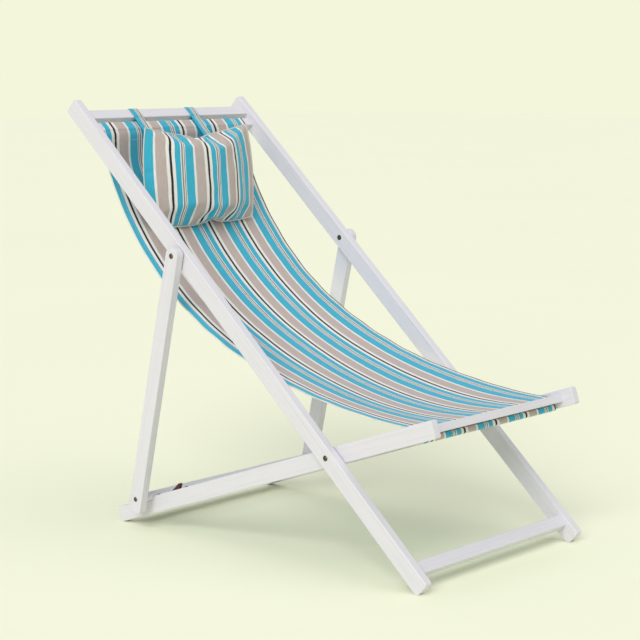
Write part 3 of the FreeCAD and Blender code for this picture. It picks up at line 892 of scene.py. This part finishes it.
@dataclass
class HeadPillow:
    """A filled pillow of the same canvas, piped round its seam, and the two straps that hold it."""

    stance: Stance
    cut_mm: tuple[float, float] = (386.0, 262.0)
    bow_mm: tuple[float, float] = (13.0, 20.0)   # the cut's bulging sides, which filling pulls in
    top_bow_share: float = 0.3       # the top side bulges only this share of the bottom's bow
    cells: tuple[int, int] = (76, 54)
    lift_mm: float = 9.0             # how far each layer's middle stands out before it is filled
    pressure: float = 3.2
    frames: int = 22
    start_mm: float = 70.0
    half_mm: tuple[float, float] = (176.0, 118.0)
    face_mm: float = 54.0
    back_mm: float = 26.0
    upright: float = 8.0             # degrees by which its own weight turns it from its solid's tilt
    settled_mm: tuple[float, float, float] = (0.0, 10.0, 6.0)
    top_sag_mm: float = 13.0         # how far the top edge drops between its corners
    top_pucker_mm: float = 2.4
    slump: float = 0.18              # share by which the foot is fuller than the middle, and the top thinner
    lump_mm: float = 2.0             # unevenness of the loose filling
    corner_pull_mm: float = 0.9
    piping_mm: float = 2.8
    strap_mm: float = 26.0
    strap_thick_mm: float = 1.4
    strap_play_mm: float = 1.1       # between the upper bar and a strap's loop
    strap_power: float = 0.4
    strap_steps: int = 48
    sewn_mm: float = 110.0           # the strap is sewn on this far below its loop's top
    bar_mm: tuple[float, float, float] = (998.5, 27.0, 18.0)  # the bar's place, width and thickness

    def flat_bag(self, material: bpy.types.Material) -> tuple[bpy.types.Object, list[int]]:
        """Two layers of canvas sewn round their edge, not yet filled.

        Args:
            material: The canvas.

        Returns:
            The bag, and the vertex numbers round its seam.
        """
        wide, tall = (s * MM for s in self.cut_mm)
        nx, ny = self.cells
        vertices, cut, faces, number = [], [], [], {}
        for side in (1, -1):
            for j in range(ny + 1):
                for i in range(nx + 1):
                    rim = i in (0, nx) or j in (0, ny)
                    if rim and side < 0:
                        number[side, i, j] = number[1, i, j]
                        continue
                    u, v = i / nx, j / ny
                    crown = (math.sin(math.pi * u) * math.sin(math.pi * v)) ** 0.5 if not rim else 0.0
                    rise = self.lift_mm * MM * crown
                    number[side, i, j] = len(vertices)
                    across, up = 2 * u - 1, 2 * v - 1
                    share = 1.0 if up < 0 else self.top_bow_share
                    x = across * (wide / 2 + self.bow_mm[0] * MM * (1 - up**2))
                    y = up * (tall / 2 + self.bow_mm[1] * MM * (1 - across**2) * share)
                    vertices.append(Vector((x, y, side * rise)))
                    cut.append((u * wide / MM, v * tall / MM))
            for j in range(ny):
                for i in range(nx):
                    quad = [number[side, a, b] for a, b in ((i, j), (i + 1, j), (i + 1, j + 1), (i, j + 1))]
                    faces.append(quad if side > 0 else quad[::-1])
        ring = [(i, 0) for i in range(nx)] + [(nx, j) for j in range(ny)]
        ring += [(i, ny) for i in range(nx, 0, -1)] + [(0, j) for j in range(ny, 0, -1)]
        bag = make_object("head_pillow_cover", vertices, faces, material, cut)
        return bag, [number[1, i, j] for i, j in ring]

    def fill(self, bag: bpy.types.Object) -> None:
        """Blows the bag up by cloth simulation and keeps the result as its mesh.

        Args:
            bag: The flat bag.
        """
        modifier = bag.modifiers.new("filling", "CLOTH")
        cloth = modifier.settings
        cloth.quality = 8
        cloth.mass = 0.25
        cloth.tension_stiffness = 30
        cloth.compression_stiffness = 20
        cloth.shear_stiffness = 12
        cloth.bending_stiffness = 2.0
        cloth.use_pressure = True
        cloth.uniform_pressure_force = self.pressure
        cloth.effector_weights.gravity = 0.0
        modifier.collision_settings.use_collision = False
        modifier.point_cache.frame_start = 1
        modifier.point_cache.frame_end = self.frames
        scene = bpy.context.scene
        for step in range(1, self.frames + 1):
            scene.frame_set(step)
        graph = bpy.context.evaluated_depsgraph_get()
        blown = bag.evaluated_get(graph)
        filled = bpy.data.meshes.new_from_object(blown, preserve_all_data_layers=True, depsgraph=graph)
        bag.modifiers.clear()
        bag.data = filled
        scene.frame_set(1)

    def settle(self, bag: bpy.types.Object) -> None:
        """Fits the filled bag to its room, drops its middle between the straps, and stands it in place.

        Args:
            bag: The filled bag, still lying flat.
        """
        turn, middle = self.resting_place()
        turn += math.radians(self.upright)
        middle += Vector(self.settled_mm) * MM
        points = [v.co for v in bag.data.vertices]
        wide, tall = (max(abs(p[axis]) for p in points) for axis in range(2))
        face, back = max(p.z for p in points), -min(p.z for p in points)
        for vertex in bag.data.vertices:
            p = vertex.co
            across, up = p.x / wide, p.y / tall
            p.x, p.y = across * self.half_mm[0] * MM, up * self.half_mm[1] * MM
            p.z *= (self.face_mm / face if p.z > 0 else self.back_mm / back) * MM
            inside = min(1.0, 2.4 * (1 - max(abs(across), abs(up))))
            # the top edge hangs between its corners and puckers, and the filling has slid down a little
            p.y -= self.top_sag_mm * MM * (1 - across**2) * max(up, 0.0) ** 2
            p.y += self.top_pucker_mm * MM * noise.noise(Vector((p.x * 55, 3.1, 0.0))) * max(up, 0.0) ** 6
            p.z *= 1.0 - self.slump * up
            # each layer has lumps of its own, so they sample different slices of the noise
            layer = 4.0 if p.z > 0 else 9.0
            p.z += self.lump_mm * MM * noise.noise(Vector((p.x * 22, p.y * 26, layer))) * inside
            # pulls that fan out from the upper corners, strongest a short way in
            for corner in (-1, 1):
                lean = math.atan2(p.y - 0.9 * self.half_mm[1] * MM, corner * p.x - self.half_mm[0] * MM)
                reach = math.hypot(across - corner, up - 1.0)
                fade = math.exp(-((reach - 0.35) ** 2) / 0.05)
                p.z += self.corner_pull_mm * MM * math.sin(lean * 13 + corner) * fade * inside
        bag.data.transform(Matrix.Translation(middle) @ Matrix.Rotation(turn, 4, "X"))
        bag.data.update()

    def resting_place(self) -> tuple[float, Vector]:
        """The pillow's tilt about X and its middle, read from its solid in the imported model."""
        mesh = frame["nodes"]["head_pillow"].data
        points = [(v.co.y, v.co.z) for v in mesh.vertices]
        low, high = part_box("head_pillow")
        cy, cz = (low.y + high.y) / 2, (low.z + high.z) / 2
        yy = sum((y - cy) ** 2 for y, _ in points)
        zz = sum((z - cz) ** 2 for _, z in points)
        yz = sum((y - cy) * (z - cz) for y, z in points)
        turn = 0.5 * math.atan2(2 * yz, yy - zz)
        if turn < 0:
            turn += math.pi / 2
        return turn, Vector(((low.x + high.x) / 2, cy, cz))

    def strap_line(self, sewn: Vector) -> list[Vector]:
        """Line of a strap from the pillow's back, up along the sling and once round the upper bar.

        Args:
            sewn: Where the strap is sewn to the pillow.

        Returns:
            Points in the side view.
        """
        along, wide, thick = self.bar_mm
        gap = self.strap_play_mm + self.strap_thick_mm / 2
        place = self.stance.back
        start, turn = 0.40, 0.93  # turns from the bar's rear side, and back round it
        round_bar = []
        for index in range(self.strap_steps + 1):
            angle = 2 * math.pi * (start - turn * index / self.strap_steps)
            y, z = squircle(angle, wide / 2 + gap, thick / 2 + gap, self.strap_power)
            round_bar.append(place(along + y, z))
        lift = place(along - wide / 2 - 9.0, thick / 2 - 0.5)
        hang = place(along - wide / 2 - 45.0, 6.5)
        tail = smoothed([Vector((0, sewn.y, sewn.z)), hang, lift, round_bar[0]], 3 * MM)
        return [*tail[:-1], *round_bar]

    def build(self) -> None:
        """Makes the pillow, its piping and its straps."""
        canvas = StripedCanvas(start_mm=self.start_mm, mirrored=True).material("striped_canvas_pillow")
        bag, ring = self.flat_bag(canvas)
        self.fill(bag)
        self.settle(bag)
        seam = [bag.data.vertices[i].co.copy() for i in ring]
        smooth = bag.modifiers.new("finer", "SUBSURF")
        smooth.levels = smooth.render_levels = 1
        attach(bag, Body.PILLOW.value)
        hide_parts("head_pillow")
        cord = SewingThread(colour="#EDEAE4").material("cream_cotton_piping")
        piping = cord_loop("pillow_piping", seam, self.piping_mm * MM / 2, 10, cord)
        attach(piping, Body.PILLOW.value)
        for side, offset in (("left", 60.0), ("right", 58.0)):
            self.build_strap(side, offset, bag, seam)
        LOG.info("pillow filled")

    def build_strap(self, side: str, offset: float, bag: bpy.types.Object,
                    seam: Sequence[Vector]) -> None:
        """Makes one strap, from the pillow's back and round the upper bar.

        Args:
            side: left or right, as the sitter has it.
            offset: Where on the stripe cycle it was cut, in mm.
            bag: The filled pillow.
            seam: Points round its seam.
        """
        low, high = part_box(f"pillow_strap_{side}")
        centre = (low.x + high.x) / 2
        # the tail is sewn to the pillow's back, in line with the strap
        near = [v.co for v in bag.data.vertices if abs(v.co.x - centre) < 6 * MM and v.co.y > seam[0].y]
        sewn = min(near, key=lambda p: abs(p.z - high.z + self.sewn_mm * MM))
        line = self.strap_line(sewn)
        half = self.strap_mm * MM / 2
        columns = [centre + half * (i / 5 - 1) for i in range(11)]
        canvas = StripedCanvas(start_mm=offset).material(f"striped_canvas_strap_{side}")
        thick = self.strap_thick_mm * MM / 2
        strap = ribbon(f"pillow_strap_{side}_ribbon", line, columns,
                       lambda x, share: 0.0, lambda x: (thick, thick), canvas)
        bar = self.stance.back(self.bar_mm[0] - self.bar_mm[1] / 2 - 3.0, 11.0)
        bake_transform(strap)
        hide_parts(f"pillow_strap_{side}")
        flat = (self.strap_mm * MM, lengths(line)[-1])


@dataclass
class Studio:
    """Plain pale floor and backdrop, soft light from the front left, and the camera."""

    stance: Stance
    backdrop: str = "#F3F6DB"
    floor: str = "#F9FCE1"
    floor_shade: str = "#F8FBE0"
    floor_reach: float = 30.0        # metres from the chair to the floor's edges
    floor_drop_mm: float = 0.4       # keeps the floor clear of the feet's lower faces
    azimuth: float = -48.25
    elevation: float = 7.91
    roll: float = -0.37
    lens_mm: float = 101.6
    camera_mm: tuple[float, float, float] = (-2959.0, -2385.7, 783.0)

    def build(self) -> None:
        """Sets up the floor, the lights and the camera."""
        self.add_floor()
        self.light_world()
        self.add_sun("key", Vector((-0.85, -0.35, 0.62)), 1.6, 35.0)
        self.add_sun("overhead", Vector((0.1, -0.2, 1.0)), 0.6, 70.0)
        self.add_camera()

    def add_floor(self) -> None:
        """A large pale floor, with a faint mottling of its own."""
        material, shader = new_material("pale_floor", roughness=0.9)
        tree = material.node_tree
        place = add_node(tree, "ShaderNodeTexCoord").outputs["Object"]
        cloud = add_node(tree, "ShaderNodeTexNoise", {"Vector": place, "Scale": 0.6}).outputs["Fac"]
        tone = ramp(tree, cloud, [(0.3, self.floor_shade), (0.7, self.floor)])
        tree.links.new(tone, shader.inputs["Base Color"])
        reach, level = self.floor_reach, -self.floor_drop_mm * MM
        corners = [Vector((x * reach, y * reach, level)) for x, y in ((-1, -1), (1, -1), (1, 1), (-1, 1))]
        floor = make_object("floor", corners, [(0, 1, 2, 3)], material)

    def light_world(self) -> None:
        """Neutral sky light, with the backdrop's colour where it is seen directly."""
        world = bpy.data.worlds.new("studio")
        bpy.context.scene.world = world
        world.use_nodes = True
        tree = world.node_tree
        tree.nodes.clear()
        seen = add_node(tree, "ShaderNodeBackground", {"Color": linear(self.backdrop), "Strength": 1.0})
        sky = add_node(tree, "ShaderNodeBackground", {"Color": (1.0, 1.0, 1.0, 1.0), "Strength": 0.5})
        path = add_node(tree, "ShaderNodeLightPath").outputs["Is Camera Ray"]
        mix = add_node(tree, "ShaderNodeMixShader", {0: path, 1: sky.outputs[0], 2: seen.outputs[0]})
        add_node(tree, "ShaderNodeOutputWorld", {"Surface": mix.outputs[0]})

    @staticmethod
    def add_sun(name: str, towards: Vector, strength: float, spread: float) -> None:
        """Adds a very large soft lamp, far away, so that the floor is lit evenly.

        Args:
            name: The lamp's name.
            towards: Direction in which it stands.
            strength: Its strength.
            spread: The angle that it fills, in degrees.
        """
        lamp = bpy.data.lights.new(name, "SUN")
        lamp.energy = strength
        lamp.angle = math.radians(spread)
        holder = bpy.data.objects.new(name, lamp)
        holder.rotation_mode = "QUATERNION"
        holder.rotation_quaternion = (-towards).to_track_quat("-Z", "Y")
        bpy.context.scene.collection.objects.link(holder)

    def add_camera(self) -> None:
        """Stands the camera low in front of the sitter's right side."""
        data = bpy.data.cameras.new("camera")
        data.lens = self.lens_mm
        data.sensor_width = 36.0
        data.clip_end = 60.0
        camera = bpy.data.objects.new("camera", data)
        bpy.context.scene.collection.objects.link(camera)
        a, e, r = (math.radians(v) for v in (self.azimuth, self.elevation, self.roll))
        back = Vector((math.sin(a) * math.cos(e), -math.cos(a) * math.cos(e), math.sin(e)))
        right = Vector((math.cos(a), math.sin(a), 0))
        up = back.cross(right)
        side = right * math.cos(r) + up * math.sin(r)
        top = up * math.cos(r) - right * math.sin(r)
        turn = Matrix((side, top, back)).transposed().to_4x4()
        camera.matrix_world = Matrix.Translation(self.stance.crossing + Vector(self.camera_mm) * MM) @ turn
        bpy.context.scene.camera = camera
        bpy.context.scene.view_settings.view_transform = "Standard"


def main() -> None:
    """Builds the chair's looks, sub-assembly by sub-assembly."""
    logging.basicConfig(level=logging.INFO, format="%(name)s: %(message)s")
    stance = Stance()
    Studio(stance).build()
    TimberFrames(stance).dress()
    HangingSling(stance).build()
    HeadPillow(stance).build()


if __name__ == "__main__":
    main()
